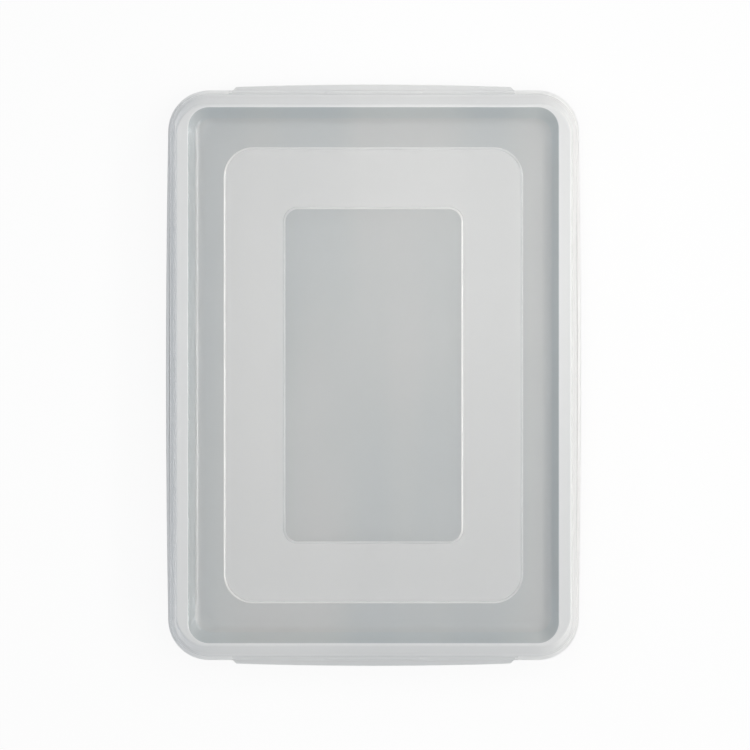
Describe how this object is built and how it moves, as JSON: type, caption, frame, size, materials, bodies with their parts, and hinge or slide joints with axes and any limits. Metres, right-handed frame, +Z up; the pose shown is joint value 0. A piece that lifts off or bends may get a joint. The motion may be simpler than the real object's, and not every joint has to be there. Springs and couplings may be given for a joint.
{
  "type": "half sheet pan with lid",
  "caption": "Shallow rectangular aluminium baking pan with a rolled rim, closed by a milky plastic storage lid with a raised ring, a sunk top and lift tabs.",
  "frame": {"origin": "middle of the flat bottom of the pan", "axes": "+Z up through the lid, +Y along the length, +X across the width"},
  "size_m": [0.3386, 0.4748, 0.038],
  "materials": {
    "pan_aluminium": "bare rolled aluminium, satin, with fine drawing lines and light scuffs",
    "wire_steel": "galvanised steel wire",
    "lid_plastic": "milky translucent moulded plastic, satin, with a finely grained panel"
  },
  "bodies": {
    "pan": {"pan": "pan_aluminium", "rim_wire": "wire_steel"},
    "lid": {"lid": "lid_plastic"}
  },
  "joints": [
    {"name": "lid_lift", "type": "slide", "parent": "pan", "child": "lid", "axis": [0, 0, 1], "range_m": [0, 0.06]}
  ]
}
